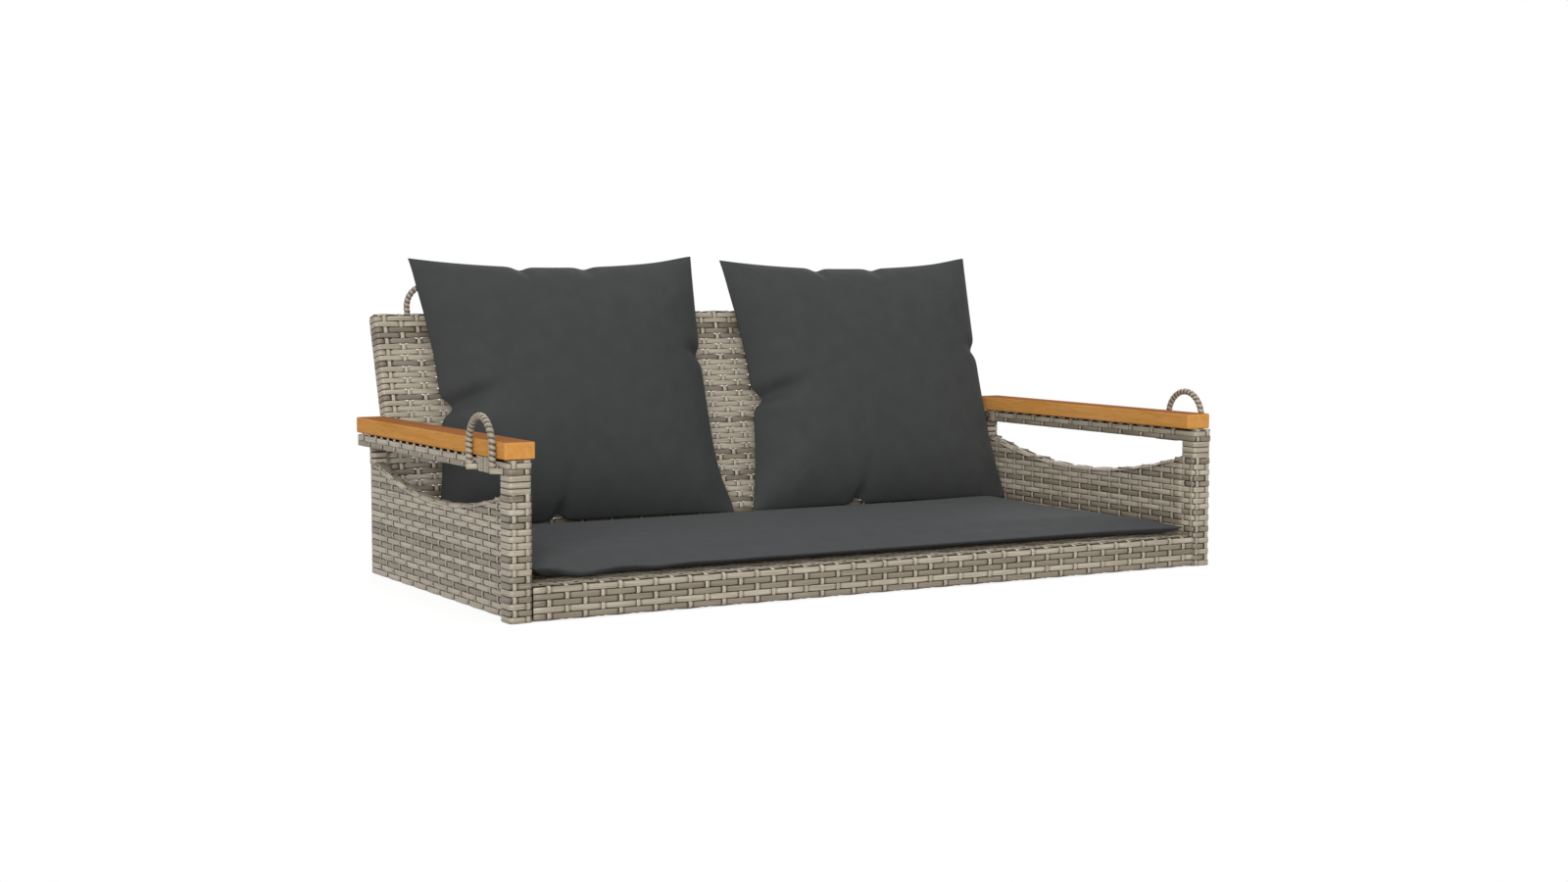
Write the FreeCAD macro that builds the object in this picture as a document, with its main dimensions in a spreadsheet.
"""Two-seat hanging bench: plastic rattan woven over a steel tube frame, with wooden
armrests, four rod loops to hang it by, a seat pad and two loose back pillows.

Frame: millimetres, X across the seat, +Y to the back, +Z up. The origin lies on the floor
under the middle of the bench. Left and right are as seen from the front.
"""
import FreeCAD
import Part
import Sketcher
import math
import os
import re

V = FreeCAD.Vector

# Driving sizes: name, value in millimetres (or degrees, where said), what it is
SIZES = (
    ("side_span", 1067.0, "width over the outside of the two woven sides"),
    ("tube", 25.0, "width of the square post tube and of the rails"),
    ("tube_wall", 1.2, "wall of every steel tube"),
    ("weave", 3.25, "thickness of the woven cover"),
    ("fit_gap", 0.3, "clearance between pieces that are bolted or laid together"),
    ("cover_round", 6.0, "corner radius of the woven posts and of the backrest's rim"),
    ("rail_round", 3.0, "corner radius of the woven arm rail"),
    ("rail_top", 192.6, "height of the arm rail under the wood"),
    ("rail_tube_high", 11.0, "height of the arm rail tube"),
    ("arm_length", 516.5, "length of the arm rail"),
    ("side_length", 510.0, "length of the woven side panel, front post included"),
    ("side_lift", 0.5, "underside of the side panel above the floor"),
    ("bottom_tube_high", 20.0, "height of the side's bottom rail tube"),
    ("rear_post", 11.0, "rear post tube, square"),
    ("scoop_low", 120.8, "lowest point of the scooped edge of the side panel"),
    ("scoop_end", 153.0, "height of the scooped edge at the posts"),
    ("scoop_round", 5.0, "rounding of the scooped edge and of the rear post"),
    ("scoop_bar_dia", 10.0, "bent bar that the scooped edge is woven over"),
    ("wood_length", 509.0, "armrest length"),
    ("wood_width", 39.2, "armrest width"),
    ("wood_thick", 20.9, "armrest thickness"),
    ("wood_overhang", 1.5, "armrest beyond the outside of the rail"),
    ("wood_setback", 7.0, "armrest front end behind the post front"),
    ("wood_round", 2.2, "rounding of the armrest edges"),
    ("screw_dia", 4.0, "armrest screw"),
    ("screw_head_dia", 8.0, "armrest screw head"),
    ("screw_head_high", 2.9, "height of the armrest screw head"),
    ("screw_length", 29.0, "armrest screw under the head"),
    ("screw_first", 130.0, "first armrest screw behind the post front"),
    ("screw_pitch", 160.0, "armrest screw spacing"),
    ("seat_top", 43.2, "height of the woven seat"),
    ("seat_tube", 20.0, "width of the seat tubes"),
    ("seat_tube_high", 30.0, "height of the side and rear seat tubes"),
    ("seat_bar", 20.0, "seat cross bar, square"),
    ("seat_bar_pitch", 250.0, "spacing of the seat cross bars"),
    ("back_foot_y", 462.6, "foot of the backrest behind the post front"),
    ("back_lean", 16.5, "backrest lean in degrees"),
    ("back_top", 354.0, "height of the woven backrest"),
    ("back_tube", 19.0, "square tube of the backrest frame"),
    ("back_stay", 15.0, "square bar behind the woven back"),
    ("back_stay_x", 160.0, "bar from the middle of the backrest"),
    ("cap_thick", 3.0, "foot cap under a backrest upright"),
    ("cap_plug", 12.0, "foot cap plug inside the upright"),
    ("bracket_high", 16.0, "height of the bracket between arm rail and backrest"),
    ("bracket_pitch", 27.0, "spacing of the two bolts in a bracket"),
    ("bracket_margin", 11.5, "bracket beyond its bolts"),
    ("loop_rod", 6.0, "steel rod of a hanging loop"),
    ("loop_strip", 1.5, "thickness of the strip wound on a loop"),
    ("loop_width", 70.8, "loop width between rod centres"),
    ("loop_height", 59.3, "loop height from foot to top, between rod centres"),
    ("loop_stand", 7.0, "loop rod centre off the woven face behind it"),
    ("loop_bend", 5.5, "bend of the rod into its foot"),
    ("loop_foot_z", 182.0, "foot of the front loops above the floor"),
    ("loop_y", 66.8, "middle of the front loops behind the post front"),
    ("rear_loop_inset", 97.5, "middle of a rear loop from the backrest's end"),
    ("rear_loop_drop", 10.6, "foot of the rear loops below the backrest's top, along the lean"),
    ("binding_width", 44.0, "binding turns on the arm rail between the loop's legs"),
    ("binding_thick", 1.6, "thickness of the binding"),
    ("bolt_dia", 6.0, "bolt"),
    ("bolt_head_dia", 10.0, "bolt head"),
    ("bolt_head_high", 4.0, "height of the bolt head"),
    ("bolt_key", 2.3, "half width of the key socket in a bolt head"),
    ("bolt_key_deep", 2.2, "depth of the key socket"),
    ("bolt_length", 38.0, "frame bolt under the head"),
    ("arm_bolt_length", 32.0, "arm bracket bolt under the head"),
    ("bolt_gap", 0.2, "clearance round a bolt in its hole"),
    ("washer_dia", 13.0, "washer"),
    ("washer_thick", 1.2, "washer thickness"),
    ("seat_bolt_z", 20.0, "height of the bolts between seat and side"),
    ("seat_bolt_first", 80.0, "front seat bolt behind the post front"),
    ("seat_bolt_last", 390.0, "rear seat bolt behind the post front"),
    ("back_bolt_x", 300.0, "spacing of the bolts between backrest and seat"),
    ("pad_side_gap", 8.5, "seat pad's side seams off the woven sides"),
    ("pad_rear_gap", 5.6, "seat pad's rear seam off the backrest"),
    ("pad_offset", 0.5, "middle of the seat pad from the middle of the bench"),
    ("pad_front", 26.0, "seat pad's front seam behind the post front"),
    ("pad_over", 16.5, "seat pad crown above its seam"),
    ("pad_under", 8.5, "seat pad below its seam"),
    ("pad_edge", 45.0, "rounded edge of the seat pad inside its seam"),
    ("pad_dome", 2.5, "swell of the seat pad inside its rounded edge"),
    ("pad_side_draw", 5.0, "draw of the seat pad's sides between the corners"),
    ("pad_end_draw", 6.0, "draw of the seat pad's front and rear edges"),
    ("left_pillow_gap", 46.0, "left pillow's outer seam inside the backrest's end"),
    ("middle_pillow_gap", 41.0, "space between the two pillows' seams"),
    ("right_pillow_gap", 2.0, "right pillow's outer seam inside the backrest's end"),
    ("pillow_length", 387.0, "back pillow between its top and bottom seams"),
    ("pillow_over", 66.0, "pillow crown in front of its seam"),
    ("pillow_under", 20.0, "pillow behind its seam"),
    ("pillow_edge", 70.0, "rounded edge of the pillow inside its seam"),
    ("pillow_dome", 30.0, "swell of the pillow inside its rounded edge"),
    ("seam_thick", 1.2, "thickness of a cushion at its seam"),
    ("rest_dome", 0.5, "swell of a cushion's underside where it rests on the weave"),
    ("pillow_side_draw", 17.0, "draw of the pillow's sides between the corners"),
    ("pillow_end_draw", 17.0, "draw of the pillow's top and bottom edges"),
    ("left_pillow_sink", 19.06, "left pillow's lower seam below the pad's crown, along the lean"),
    ("right_pillow_sink", 20.86, "right pillow's lower seam below the pad's crown, along the lean"),
)

# Sizes worked out from the driving ones
DERIVED = (
    ("outer_x", "side_span / 2"),
    ("side_thick", "tube + 2 * weave"),
    ("inner_x", "outer_x - side_thick"),
    ("side_x", "outer_x - side_thick / 2"),
    ("rail_tube_z", "rail_top - weave - rail_tube_high"),
    ("rail_under", "rail_tube_z - weave"),
    ("rail_mid_z", "rail_tube_z + rail_tube_high / 2"),
    ("panel_thick", "rear_post + 2 * weave"),
    ("panel_x", "inner_x + panel_thick / 2"),
    ("rear_post_y", "side_length - panel_thick"),
    ("scoop_mid", "(side_thick + rear_post_y) / 2"),
    ("scoop_half", "(rear_post_y - side_thick) / 2"),
    ("scoop_sag", "scoop_end - scoop_low"),
    ("scoop_radius", "(scoop_half ^ 2 + scoop_sag ^ 2) / (2 * scoop_sag)"),
    ("scoop_bar_radius", "scoop_radius + weave + scoop_bar_dia / 2"),
    ("loop_reach", "loop_rod / 2 + loop_strip"),
    ("back_cover", "back_tube + 2 * weave"),
    ("back_half", "back_cover / 2"),
    ("back_z", "back_half * sin(back_lean)"),
    ("back_length", "(back_top - 2 * back_z) / cos(back_lean)"),
    ("back_side_x", "outer_x + wood_overhang - wood_width - fit_gap"),
    ("back_in_x", "back_side_x - back_cover"),
    ("bracket_thick", "inner_x - back_side_x"),
    ("upright_y", "back_foot_y + (rail_mid_z - back_z) * tan(back_lean)"),
    ("rear_loop_y", "back_half + loop_stand"),
    ("rear_loop_z", "back_length - rear_loop_drop"),
    ("overall_depth", "back_foot_y + rear_loop_y * cos(back_lean)"
                      " + (rear_loop_z + loop_height) * sin(back_lean) + loop_reach"),
    ("front_y", "-overall_depth / 2"),
    ("back_y", "front_y + back_foot_y"),
    ("seat_half", "inner_x - fit_gap"),
    ("seat_cover", "seat_tube + 2 * weave"),
    ("seat_in_x", "seat_half - seat_cover"),
    ("seat_rear", "back_foot_y - back_half * cos(back_lean) - fit_gap"),
    ("seat_under", "seat_top - weave"),
    ("seat_tube_z", "seat_under - seat_tube_high"),
    ("hole_dia", "bolt_dia + 2 * bolt_gap"),
    ("rear_loop_x", "back_side_x - rear_loop_inset"),
    ("pad_seam_z", "seat_top + fit_gap + pad_under"),
    ("pad_width", "2 * (inner_x - pad_side_gap)"),
    ("pad_rear", "back_foot_y - back_half / cos(back_lean)"
                 " + (pad_seam_z - back_z) * tan(back_lean) - pad_rear_gap"),
    ("pad_length", "pad_rear - pad_front"),
    ("pad_crown", "(pad_seam_z + pad_over - back_z) / cos(back_lean)"),
    ("pillow_width", "back_side_x - (left_pillow_gap + middle_pillow_gap + right_pillow_gap) / 2"),
    ("left_pillow_x", "left_pillow_gap + pillow_width / 2 - back_side_x"),
    ("right_pillow_x", "back_side_x - right_pillow_gap - pillow_width / 2"),
    ("left_pillow_rise", "pad_crown - left_pillow_sink"),
    ("right_pillow_rise", "pad_crown - right_pillow_sink"),
)

doc = FreeCAD.newDocument("SwingBench")
sheet = doc.addObject("Spreadsheet::Sheet", "Sizes")
for row, (alias, number, meaning) in enumerate(SIZES, start=1):
    sheet.set(f"A{row}", meaning)
    sheet.set(f"B{row}", str(number))
    sheet.setAlias(f"B{row}", alias)
for row, (alias, formula) in enumerate(DERIVED, start=len(SIZES) + 1):
    sheet.set(f"A{row}", alias.replace("_", " "))
    sheet.set(f"B{row}", "=" + formula)
    sheet.setAlias(f"B{row}", alias)
doc.recompute()

NAMES = {alias for alias, *_ in SIZES} | {alias for alias, _ in DERIVED}
NODES = {}
HANDS = (("left", -1), ("right", 1))


def size(alias):
    """The sheet's value of one size."""
    return float(sheet.get(alias))


def link(text):
    """A formula in size names, written as an expression on the sheet's cells."""
    return re.sub(r"[a-z_]+", lambda m: "Sizes." + m[0] if m[0] in NAMES else m[0], str(text))


def add(kind, name, **formulas):
    """A document object whose properties are bound to the sheet."""
    item = doc.addObject(kind, name)
    for prop, formula in formulas.items():
        item.setExpression(prop, link(formula))
    return item


def stand(item, x, y, z, axis="0; 0; 1", degrees=0):
    """Bind an object's whole place and turn."""
    item.setExpression("Placement", link(f"placement(vector({x}; {y}; {z});"
                                         f" rotation(vector({axis}); {degrees}))"))
    return item


def leaning(y, z):
    """Y and Z of a point given in the backrest's own frame: Y to the rear, Z up the lean."""
    return (f"back_y + ({y}) * cos(back_lean) + ({z}) * sin(back_lean)",
            f"back_z - ({y}) * sin(back_lean) + ({z}) * cos(back_lean)")


def box(name, x, y, z, dx, dy, dz, lean=False):
    """A block from its lowest corner, upright or in the backrest's own frame."""
    item = add("Part::Box", name, Length=dx, Width=dy, Height=dz)
    if lean:
        return stand(item, x, *leaning(y, z), "1; 0; 0", "-back_lean")
    return stand(item, x, y, z)


def rod(name, x, y, z, radius, length, axis="0; 0; 1", degrees=0):
    item = add("Part::Cylinder", name, Radius=radius, Height=length)
    return stand(item, x, y, z, axis, degrees)


def bend(name, x, y, z, radius, rod_radius, sweep, axis, degrees):
    item = add("Part::Torus", name, Radius1=radius, Radius2=rod_radius, Angle3=sweep)
    return stand(item, x, y, z, axis, degrees)


def fuse(name, items):
    if len(items) == 1:
        return items[0]
    item = doc.addObject("Part::MultiFuse", name)
    item.Shapes = items
    item.Refine = True
    return item


def cut(name, base, tools):
    item = doc.addObject("Part::Cut", name)
    item.Base = base
    item.Tool = fuse(name + "_tools", tools)
    item.Refine = True
    return item


def node(name, *items):
    """Name a finished sub-part. Several loose pieces under one name stay separate solids."""
    if len(items) == 1:
        NODES[name] = items[0]
    else:
        NODES[name] = doc.addObject("Part::Compound", name)
        NODES[name].Links = list(items)
    return NODES[name]


def from_middle(sign, inner, width):
    """Lowest X of something that starts at inner from the middle of the bench."""
    return inner if sign > 0 else f"-({inner}) - ({width})"


def rounded(name, block, radius, chosen):
    """A block with some edges rounded, picked by their middle and direction in its own frame."""
    doc.recompute()
    home = block.Placement.inverse()
    edges = []
    for index, edge in enumerate(block.Shape.Edges, start=1):
        ends = [home.multVec(vertex.Point) for vertex in edge.Vertexes]
        if chosen((ends[0] + ends[1]) * 0.5, ends[1] - ends[0]):
            edges.append((index, size(radius), size(radius)))
    item = doc.addObject("Part::Fillet", name)
    item.Base = block
    item.Edges = edges
    return item


def box_tube(name, spans, along, lean=False):
    """A rectangular steel tube, open at both ends along one axis, after its solid core."""
    low, length = spans[:3], spans[3:]
    bore_low = [f"{value} + tube_wall" for value in low]
    bore_length = [f"{value} - 2 * tube_wall" for value in length]
    bore_low[along] = low[along]
    bore_length[along] = length[along]
    core = box(name + "_core", *low, *length, lean)
    bore = box(name + "_bore", *bore_low, *bore_length, lean)
    return core, cut(name + "_tube", core, [bore])


# Bolts and washers


def bolt_set(name, length, *spot):
    """A bolt, its washer and its clearance hole, where the bolt enters a face along +Z."""
    head = rod(name + "_head", 0, 0, "-washer_thick - bolt_head_high", "bolt_head_dia / 2", "bolt_head_high")
    shank = rod(name + "_shank", 0, 0, "-washer_thick", "bolt_dia / 2", length)
    key = add("Part::Prism", name + "_key", Circumradius="bolt_key / cos(30)", Height="bolt_key_deep")
    stand(key, 0, 0, "-washer_thick - bolt_head_high")
    screw = cut(name, fuse(name + "_blank", [head, shank]), [key])
    ring = rod(name + "_ring", 0, 0, "-washer_thick", "washer_dia / 2", "washer_thick")
    eye = rod(name + "_eye", 0, 0, "-washer_thick", "hole_dia / 2", "washer_thick")
    washer = cut(name + "_washer", ring, [eye])
    hole = add("Part::Cylinder", name + "_hole", Radius="hole_dia / 2", Height=length)
    return [stand(item, *spot) for item in (screw, washer, hole)]


frame_bolts, arm_bolts, washers = [], [], []
seat_holes, rail_holes, upright_holes, back_holes = {}, {}, {}, []
for hand, sign in HANDS:
    outward = ("0; 1; 0", 90 * sign)
    seat_holes[hand] = []
    for label, depth in (("front", "seat_bolt_first"), ("rear", "seat_bolt_last")):
        screw, washer, hole = bolt_set(f"{hand}_{label}_bolt", "bolt_length", f"{sign} * seat_in_x",
                                       f"front_y + {depth}", "seat_bolt_z", *outward)
        frame_bolts.append(screw)
        washers.append(washer)
        seat_holes[hand].append(hole)
    screw, washer, rail_holes[hand] = bolt_set(hand + "_rail_bolt", "arm_bolt_length", f"{sign} * back_side_x",
                                               "front_y + upright_y - bracket_pitch", "rail_mid_z", *outward)
    arm_bolts.append(screw)
    washers.append(washer)
    screw, washer, upright_holes[hand] = bolt_set(hand + "_upright_bolt", "arm_bolt_length",
                                                  f"{sign} * back_in_x", "front_y + upright_y",
                                                  "rail_mid_z", *outward)
    arm_bolts.append(screw)
    washers.append(washer)
for number in (-1, 0, 1):
    screw, washer, hole = bolt_set(f"back_bolt_{number + 1}", "bolt_length", f"{number} * back_bolt_x",
                                   *leaning("back_half", "back_half"), "1; 0; 0", "90 - back_lean")
    frame_bolts.append(screw)
    washers.append(washer)
    back_holes.append(hole)
node("frame_bolts", *frame_bolts)
node("arm_bracket_bolts", *arm_bolts)
node("bolt_washers", *washers)


# Hanging loops


def loop(name, radius, foot):
    """A rod loop in its own frame: width along X, up Z, its feet turned towards -Y."""
    pieces = [bend(name + "_arch", 0, 0, "loop_height - loop_width / 2", "loop_width / 2", radius,
                   180, "1; 0; 0", 90)]
    for mark, sign in HANDS:
        x = f"{sign} * loop_width / 2"
        pieces.append(rod(f"{name}_{mark}_leg", x, 0, "loop_bend", radius,
                          "loop_height - loop_width / 2 - loop_bend"))
        pieces.append(bend(f"{name}_{mark}_bend", x, "-loop_bend", "loop_bend", "loop_bend", radius,
                           90, "0; 1; 0", 90))
        pieces.append(rod(f"{name}_{mark}_foot", x, "-loop_bend", 0, radius, foot, "1; 0; 0", 90))
    return fuse(name, pieces)


def hanging_loop(name, *spot):
    """The bent rod, welded to a tube through the weave, and the strip wound on it."""
    steel = stand(loop(name + "_rod", "loop_rod / 2", "loop_stand - loop_bend + weave"), *spot)
    strip = stand(loop(name + "_strip", "loop_reach", "loop_stand - loop_bend"), *spot)
    node(name, steel)
    node(name + "_wrap", cut(name + "_strip_open", strip, [steel]))
    return steel


front_rods = {}
rear_rods = []
for hand, sign in HANDS:
    front_rods[hand] = hanging_loop(hand + "_front_loop", f"{sign} * (outer_x + loop_stand)",
                                    "front_y + loop_y", "loop_foot_z", "0; 0; 1", -90 * sign)
    rear_rods.append(hanging_loop(hand + "_rear_loop", f"{sign} * rear_loop_x",
                                  *leaning("rear_loop_y", "rear_loop_z"), "1; 0; 0", "-back_lean"))


# Woven sides with their steel frames and wooden armrests


def body_sketch(name, role, corners):
    """A body with a sketch of straight edges on one of its own origin planes."""
    body = doc.addObject("PartDesign::Body", name)
    sketch = body.newObject("Sketcher::SketchObject", name + "_outline")
    plane = [item for item in body.Origin.OriginFeatures if item.Role == role][0]
    sketch.AttachmentSupport = [(plane, "")]
    sketch.MapMode = "FlatFace"
    for start, end in zip(corners, corners[1:]):
        sketch.addGeometry(Part.LineSegment(V(*start), V(*end)))
    return body, sketch


def measure(sketch, label, formula, *constraint):
    """A named sketch dimension bound to the sheet."""
    index = sketch.addConstraint(Sketcher.Constraint(*constraint))
    sketch.renameConstraint(index, label)
    sketch.setExpression("Constraints." + label, link(formula))


def scooped_plate(name, inset, thick):
    """Side panel on the YZ plane, Y from the post front: straight edges under a sagging arc."""
    front = size("side_thick")
    rear = size("side_length") - inset * size("weave")
    low = size("side_lift") + inset * size("weave")
    high = size("scoop_end") - inset * size("weave")
    middle, radius = size("scoop_mid"), size("scoop_radius")
    rise = high + math.sqrt(radius ** 2 - (middle - front) ** 2)
    rear_high = rise - math.sqrt(radius ** 2 - (rear - middle) ** 2)
    body, sketch = body_sketch(name, "YZ_Plane",
                               [(front, high), (front, low), (rear, low), (rear, rear_high)])
    circle = Part.Circle(V(middle, rise, 0), V(0, 0, 1), radius)
    start = math.atan2(high - rise, front - middle)
    end = math.atan2(rear_high - rise, rear - middle)
    sketch.addGeometry(Part.ArcOfCircle(circle, start, end))
    for joint in ((0, 2, 1, 1), (1, 2, 2, 1), (2, 2, 3, 2), (3, 1, 0, 1)):
        sketch.addConstraint(Sketcher.Constraint("Coincident", *joint))
    for kind, line in (("Vertical", 0), ("Horizontal", 1), ("Vertical", 2)):
        sketch.addConstraint(Sketcher.Constraint(kind, line))
    measure(sketch, "front", "side_thick", "DistanceX", -1, 1, 1, 1, front)
    measure(sketch, "rear", f"side_length - {inset} * weave", "DistanceX", -1, 1, 1, 2, rear)
    measure(sketch, "low", f"side_lift + {inset} * weave", "DistanceY", -1, 1, 1, 1, low)
    measure(sketch, "high", f"scoop_end - {inset} * weave", "DistanceY", -1, 1, 0, 1, high)
    measure(sketch, "middle", "scoop_mid", "DistanceX", -1, 1, 3, 3, middle)
    measure(sketch, "scoop", "scoop_radius", "Radius", 3, radius)
    pad = body.newObject("PartDesign::Pad", name + "_pad")
    pad.Profile = sketch
    pad.SideType = "Symmetric"
    pad.setExpression("Length", link(thick))
    doc.recompute()
    return body, pad


def round_body(body, pad, chosen, radius):
    """Round a body's edges, picked by their bounding boxes."""
    names = [f"Edge{index}" for index, edge in enumerate(pad.Shape.Edges, start=1) if chosen(edge)]
    item = body.newObject("PartDesign::Fillet", body.Name + "_soft")
    item.Base = (pad, names)
    item.setExpression("Radius", link(radius))


def scoop_edge(edge):
    """True for the scooped edges and the upright and upper rear edges of a side panel."""
    bounds = edge.BoundBox
    at_rear = abs(bounds.YMin - size("side_length")) < 0.01
    return edge.Curve.TypeId == "Part::GeomCircle" or (at_rear and bounds.ZMax > size("scoop_low"))


def armrest(name):
    """A plain board with all its edges rounded, its lowest corner at the origin."""
    width, length = size("wood_width"), size("wood_length")
    body, sketch = body_sketch(name, "XY_Plane",
                               [(0, 0), (width, 0), (width, length), (0, length), (0, 0)])
    for line in range(4):
        sketch.addConstraint(Sketcher.Constraint("Coincident", line, 2, (line + 1) % 4, 1))
        sketch.addConstraint(Sketcher.Constraint("Vertical" if line % 2 else "Horizontal", line))
    sketch.addConstraint(Sketcher.Constraint("Coincident", 0, 1, -1, 1))
    measure(sketch, "width", "wood_width", "DistanceX", 0, 1, 0, 2, width)
    measure(sketch, "length", "wood_length", "DistanceY", 1, 1, 1, 2, length)
    pad = body.newObject("PartDesign::Pad", name + "_pad")
    pad.Profile = sketch
    pad.setExpression("Length", link("wood_thick"))
    doc.recompute()
    round_body(body, pad, lambda edge: True, "wood_round")
    return body


SCREW_COUNT = 3
armrest_screws, bindings = [], []


def arm_screws(hand, sign):
    """Screws from under the arm rail into the wood, their shanks and the holes for their heads."""
    shanks, sinks = [], []
    for number in range(SCREW_COUNT):
        name = f"{hand}_screw_{number}"
        spot = (f"{sign} * side_x", f"front_y + screw_first + {number} * screw_pitch")
        shank = rod(name + "_shank", *spot, "rail_tube_z", "screw_dia / 2", "screw_length")
        head = rod(name + "_head", *spot, "rail_tube_z - screw_head_high", "screw_head_dia / 2",
                   "screw_head_high")
        shanks.append(shank)
        sinks.append(rod(name + "_sink", *spot, "rail_under", "screw_head_dia / 2 + bolt_gap", "weave"))
        armrest_screws.append(fuse(name, [head, shank]))
    return shanks, sinks


def woven_side(hand, sign):
    """One side of the bench: five tubes and bars, four woven covers, the armrest, the bracket."""
    tube_x = from_middle(sign, "inner_x + weave", "tube")
    cover_x = from_middle(sign, "inner_x", "side_thick")
    shanks, sinks = arm_screws(hand, sign)
    drilled = shanks + [rail_holes[hand]]

    post, post_tube = box_tube(hand + "_post", [tube_x, "front_y + weave", "weave",
                                                "tube", "tube", "rail_tube_z - weave"], 2)
    panel_tube_x = from_middle(sign, "inner_x + weave", "rear_post")
    rear, rear_tube = box_tube(hand + "_rear", [panel_tube_x, "front_y + rear_post_y + weave",
                                                "side_lift + weave", "rear_post", "rear_post",
                                                "rail_tube_z - side_lift - weave"], 2)
    rail, rail_tube = box_tube(hand + "_rail", [tube_x, "front_y + weave", "rail_tube_z", "tube",
                                                "arm_length - 2 * weave", "rail_tube_high"], 1)
    low, low_tube = box_tube(hand + "_low", [panel_tube_x, "front_y + weave + tube", "side_lift + weave",
                                             "rear_post", "rear_post_y - tube", "bottom_tube_high"], 1)
    ring = bend(hand + "_scoop_ring", f"{sign} * panel_x", "front_y + scoop_mid", "scoop_low + scoop_radius",
                "scoop_bar_radius", "scoop_bar_dia / 2", 360, "0; 1; 0", 90)
    span = box(hand + "_scoop_span", cover_x, "front_y + weave + tube", "side_lift",
               "side_thick", "rear_post_y - tube", "scoop_end")
    bar = doc.addObject("Part::Common", hand + "_scoop_arc")
    bar.Base = ring
    bar.Tool = span
    node(hand + "_front_post_tube", post_tube)
    node(hand + "_rear_post_tube", rear_tube)
    node(hand + "_arm_rail_tube", cut(hand + "_rail_drilled", rail_tube, drilled))
    node(hand + "_bottom_rail_tube", cut(hand + "_low_drilled", low_tube, seat_holes[hand]))
    node(hand + "_scoop_bar", bar)

    block = box(hand + "_post_block", cover_x, "front_y", 0, "side_thick", "side_thick", "rail_under")
    block = rounded(hand + "_post_soft", block, "cover_round", lambda middle, way: abs(way.z) > 1)
    node(hand + "_front_post_weave", cut(hand + "_post_cover", block, [post, low, bar]))
    block = box(hand + "_rail_block", cover_x, "front_y", "rail_under", "side_thick", "arm_length",
                "rail_top - rail_under")
    block = rounded(hand + "_rail_soft", block, "rail_round", lambda middle, way: abs(way.y) > 1)
    node(hand + "_arm_rail_weave", cut(hand + "_rail_cover", block,
                                       [rail, post, rear, front_rods[hand]] + drilled + sinks))
    plate, pad = scooped_plate(hand + "_panel", 0, "panel_thick")
    round_body(plate, pad, scoop_edge, "scoop_round")
    hollow, _ = scooped_plate(hand + "_hollow", 1, "rear_post")
    for item in (plate, hollow):
        stand(item, f"{sign} * panel_x", "front_y", 0)
    node(hand + "_side_weave", cut(hand + "_panel_cover", plate, [hollow, rear] + seat_holes[hand]))
    block = box(hand + "_rear_block", from_middle(sign, "inner_x", "panel_thick"), "front_y + rear_post_y",
                "scoop_end - scoop_round", "panel_thick", "panel_thick", "rail_under - scoop_end + scoop_round")
    sleeve = rounded(hand + "_rear_soft", block, "scoop_round", lambda middle, way: abs(way.z) > 1)
    node(hand + "_rear_post_weave", cut(hand + "_rear_cover", sleeve, [rear, plate]))

    board = stand(armrest(hand + "_board"), from_middle(sign, "back_side_x + fit_gap", "wood_width"),
                  "front_y + wood_setback", "rail_top")
    node(hand + "_armrest", cut(hand + "_board_drilled", board, shanks))
    band = box(hand + "_band", from_middle(sign, "inner_x - binding_thick", "side_thick + 2 * binding_thick"),
               "front_y + loop_y - binding_width / 2", "rail_under - binding_thick",
               "side_thick + 2 * binding_thick", "binding_width", "rail_top - rail_under + binding_thick")
    room = box(hand + "_band_room", cover_x, "front_y", "rail_under", "side_thick", "arm_length",
               "rail_top - rail_under")
    bindings.append(cut(hand + "_band_open", band, [room]))
    bracket = box(hand + "_bracket", from_middle(sign, "back_side_x", "bracket_thick"),
                  "front_y + upright_y - bracket_pitch - bracket_margin", "rail_mid_z - bracket_high / 2",
                  "bracket_thick", "bracket_pitch + 2 * bracket_margin", "bracket_high")
    node(hand + "_arm_bracket", cut(hand + "_bracket_drilled", bracket,
                                    [rail_holes[hand], upright_holes[hand]]))


for hand, sign in HANDS:
    woven_side(hand, sign)
node("armrest_screws", *armrest_screws)
node("loop_bindings", *bindings)


# Seat frame and woven seat


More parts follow.
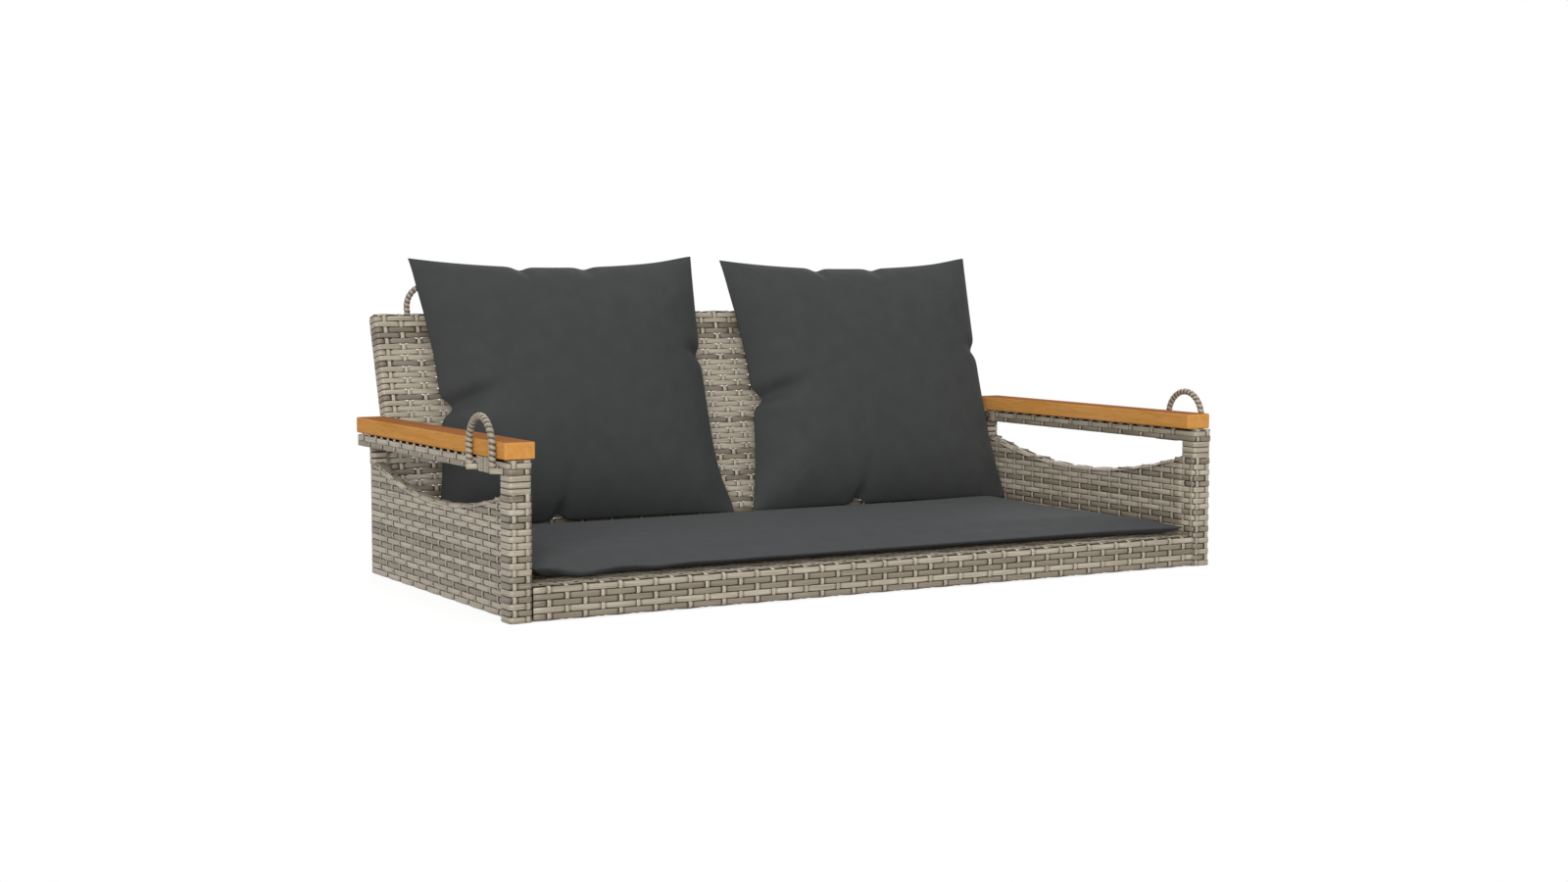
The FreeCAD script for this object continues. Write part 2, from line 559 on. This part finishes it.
def seat_frame():
    """Four tubes and three cross bars under the woven seat, each tube in its own woven cover."""
    across = ("-seat_half + weave", "2 * seat_half - 2 * weave")
    inside_y, inside = "front_y + weave + seat_tube", "seat_rear - 2 * weave - 2 * seat_tube"
    cover_z, cover_high = "seat_tube_z - weave", "seat_top - seat_tube_z + weave"
    cover_y, cover_long = "front_y + seat_cover", "seat_rear - 2 * seat_cover"
    front, front_tube = box_tube("seat_front", [across[0], "front_y + weave", "weave",
                                                across[1], "seat_tube", "seat_under - weave"], 0)
    rear, rear_tube = box_tube("seat_back", [across[0], "front_y + seat_rear - weave - seat_tube",
                                             "seat_tube_z", across[1], "seat_tube", "seat_tube_high"], 0)
    node("seat_front_tube", front_tube)
    node("seat_rear_tube", cut("seat_back_drilled", rear_tube, back_holes))
    cores, bars = [], []
    for hand, sign in HANDS:
        low = from_middle(sign, "seat_in_x + weave", "seat_tube")
        core, tube = box_tube(hand + "_seat", [low, inside_y, "seat_tube_z",
                                               "seat_tube", inside, "seat_tube_high"], 1)
        cores.append(core)
        cover = box(hand + "_seat_block", from_middle(sign, "seat_in_x", "seat_cover"), cover_y, cover_z,
                    "seat_cover", cover_long, cover_high)
        node(f"seat_{hand}_tube", cut(hand + "_seat_drilled", tube, seat_holes[hand]))
        node(f"seat_{hand}_weave", cut(hand + "_seat_cover", cover, [core] + seat_holes[hand]))
    for number in (-1, 0, 1):
        core, tube = box_tube(f"seat_bar_{number + 1}", [f"{number} * seat_bar_pitch - seat_bar / 2", inside_y,
                                                         "seat_under - seat_bar", "seat_bar", inside,
                                                         "seat_bar"], 1)
        cores.append(core)
        bars.append(tube)
    node("seat_cross_bars", *bars)
    apron = box("seat_apron", "-seat_half", "front_y", 0, "2 * seat_half", "seat_cover", "seat_top")
    node("seat_front_weave", cut("seat_apron_cover", apron, [front] + cores))
    tail = box("seat_tail", "-seat_half", "front_y + seat_rear - seat_cover", cover_z,
               "2 * seat_half", "seat_cover", cover_high)
    node("seat_rear_weave", cut("seat_tail_cover", tail, [rear] + cores + back_holes))
    node("seat_weave", box("seat_panel", "-seat_in_x", cover_y, "seat_under",
                           "2 * seat_in_x", cover_long, "weave"))


seat_frame()


# Leaning backrest, in its own frame


def back_rim(name, spans, chosen, tools):
    """A steel tube of the backrest inside its woven cover, with some cover edges rounded."""
    low, length = spans[:3], spans[3:]
    block = box(name + "_block", *low, *length, True)
    if chosen:
        block = rounded(name + "_soft", block, "cover_round", chosen)
    return cut(name + "_cover", block, tools)


def backrest():
    """Four square tubes in woven covers, two bars behind the woven back, two foot caps."""
    half, wide = "-back_half", "back_cover"
    inner, square = "-back_tube / 2", "back_tube"
    upper = "back_length - back_cover"
    top, top_tube = box_tube("back_top", ["-back_side_x + weave", inner, f"{upper} + weave",
                                          "2 * back_side_x - 2 * weave", square, square], 0, True)
    bar, bar_tube = box_tube("back_bar", ["-back_in_x - weave", inner, "weave",
                                          "2 * back_in_x + 2 * weave", square, square], 0, True)
    node("back_top_tube", top_tube)
    node("back_bottom_tube", cut("back_bar_drilled", bar_tube, back_holes))
    cores, stays, caps = [], [], []
    for hand, sign in HANDS:
        low = from_middle(sign, "back_in_x + weave", square)
        core, tube = box_tube(hand + "_upright", [low, inner, "cap_thick", square, square,
                                                  f"{upper} + weave - cap_thick"], 2, True)
        hole = upright_holes[hand]
        node(f"back_{hand}_tube", cut(hand + "_upright_drilled", tube, [hole]))
        cover_x = from_middle(sign, "back_in_x", wide)
        spans = [cover_x, half, "cap_thick", wide, wide, f"{upper} - cap_thick"]
        outer = (lambda middle, way, sign=sign: abs(way.z) > 1 and
                 (middle.x > 1) == (sign > 0))
        node(f"back_{hand}_weave", back_rim(f"back_{hand}", spans, outer, [core, bar, hole]))
        cores.append(core)
        stay_x = f"{sign} * back_stay_x - back_stay / 2"
        stay_core, stay = box_tube(hand + "_stay", [stay_x, f"{half} + weave", "weave + back_tube", "back_stay",
                                                    "back_stay", "back_length - 2 * weave - 2 * back_tube"],
                                   2, True)
        cores.append(stay_core)
        stays.append(stay)
        plate = box(hand + "_cap_plate", cover_x, half, 0, wide, wide, "cap_thick", True)
        room = "back_tube - 2 * tube_wall - bolt_gap"
        plug = box(hand + "_cap_plug", from_middle(sign, f"back_side_x - back_half - ({room}) / 2", room),
                   f"-({room}) / 2", "cap_thick", room, room, "cap_plug", True)
        caps.append(fuse(hand + "_cap", [plate, plug]))
    node("back_stays", *stays)
    node("back_foot_caps", *caps)
    spans = ["-back_side_x", half, upper, "2 * back_side_x", wide, wide]
    node("back_top_weave", back_rim("back_upper", spans, lambda middle, way: middle.z > 1,
                                    [top] + cores + rear_rods))
    spans = ["-back_in_x", half, 0, "2 * back_in_x", wide, wide]
    node("back_bottom_weave", back_rim("back_lower", spans, None, [bar] + cores + back_holes))
    node("back_weave", box("back_panel", "-back_in_x", half, "back_cover", "2 * back_in_x", "weave",
                           "back_length - 2 * back_cover", True))


backrest()


# Seat pad and pillows: two crowned skins that meet in one seam

ROWS = (0.0, 0.08, 0.25, 0.55, 1.0)
MIDDLE_ROWS = 6
MIDDLE_STEPS = 4
STEPS = (0.0, 0.15, 0.35, 0.65, 1.0)


def stations(edge, shares, middle):
    """Places from -1 to 1, close together in the edge zone at either end."""
    rise = [edge * share - 1 for share in shares]
    flat = [(edge - 1) * (1 - 2 * k / middle) for k in range(1, middle)]
    return rise + flat + [-value for value in reversed(rise)]


def edge_rise(place, edge, zone, crown):
    """Share of the crown reached at a place: a circular rise over the edge zone, then level."""
    if abs(place) <= 1 - edge:
        return 1.0
    radius = (zone ** 2 + crown ** 2) / (2 * crown)
    depth = zone * (abs(place) - 1 + edge) / edge
    return 1 - (radius - math.sqrt(max(0.0, radius ** 2 - depth ** 2))) / crown


def skin(kind, crown, dome):
    """Rows of arcs from the lower seam to the upper one, then the two side seams.

    Each edge of the seam is drawn in most at its middle. The skin rises in an arc from the
    seam over the edge zone, and swells by the dome from there to its middle.
    """
    half, length = size(kind + "_width") / 2, size(kind + "_length") / 2
    zone = size(kind + "_edge")
    side_draw, end_draw = size(kind + "_side_draw"), size(kind + "_end_draw")
    level = abs(crown) - dome - size("seam_thick") / 2
    rows, sides = [], ([], [])
    for t in stations(zone / length, ROWS, MIDDLE_ROWS):
        points = []
        for u in stations(zone / half, STEPS, MIDDLE_STEPS):
            share = edge_rise(u, zone / half, zone, level) * edge_rise(t, zone / length, zone, level)
            rise = size("seam_thick") / 2 + level * share + dome * (1 - u * u) * (1 - t * t)
            points.append(V(u * (half - side_draw * (1 - t * t)), t * (length - end_draw * (1 - u * u)),
                            math.copysign(rise, crown)))
        arcs = [Part.Arc(*points[k:k + 3]).toShape() for k in range(0, len(points) - 2, 2)]
        rows.append(Part.Wire(arcs))
        sides[0].append(points[0])
        sides[1].append(points[-1])
    return rows, [Part.makePolygon(side) for side in sides]


def stuffed(name, kind, dome, *spot):
    """A closed cushion, its seam on the XY plane of its own frame, its underside nearly flat."""
    over, over_sides = skin(kind, size(kind + "_over"), dome)
    under, under_sides = skin(kind, -size(kind + "_under"), size("rest_dome"))
    seams = [(over[0], under[0]), (over[-1], under[-1])] + list(zip(over_sides, under_sides))
    faces = []
    for wires in [over, under] + seams:
        faces += Part.makeLoft(list(wires), False, True).Faces
    shell = Part.Shell(faces)
    shell.sewShape()
    solid = Part.Solid(Part.Shell(shell.Faces))
    if solid.Volume < 0:
        solid.reverse()
    item = doc.addObject("Part::Feature", name + "_form")
    item.Shape = solid
    node(name, stand(item, *spot))


stuffed("seat_cushion", "pad", size("pad_dome"), "pad_offset", "front_y + pad_front + pad_length / 2",
        "pad_seam_z")
for hand, _ in HANDS:
    stuffed(hand + "_back_pillow", "pillow", size("pillow_dome"), hand + "_pillow_x",
            *leaning("-back_half - fit_gap - pillow_under", hand + "_pillow_rise + pillow_length / 2"),
            "1; 0; 0", "90 - back_lean")

doc.recompute()
failed = [item.Name for item in doc.Objects if {"Invalid", "Error"} & set(item.State)]
if failed:
    raise RuntimeError("these did not compute: " + ", ".join(failed))
os.makedirs("parts", exist_ok=True)
for name, item in NODES.items():
    if item.Shape.isNull() or not item.Shape.isValid():
        raise RuntimeError(name + " has no valid shape")
    item.Shape.exportStep(f"parts/{name}.step")
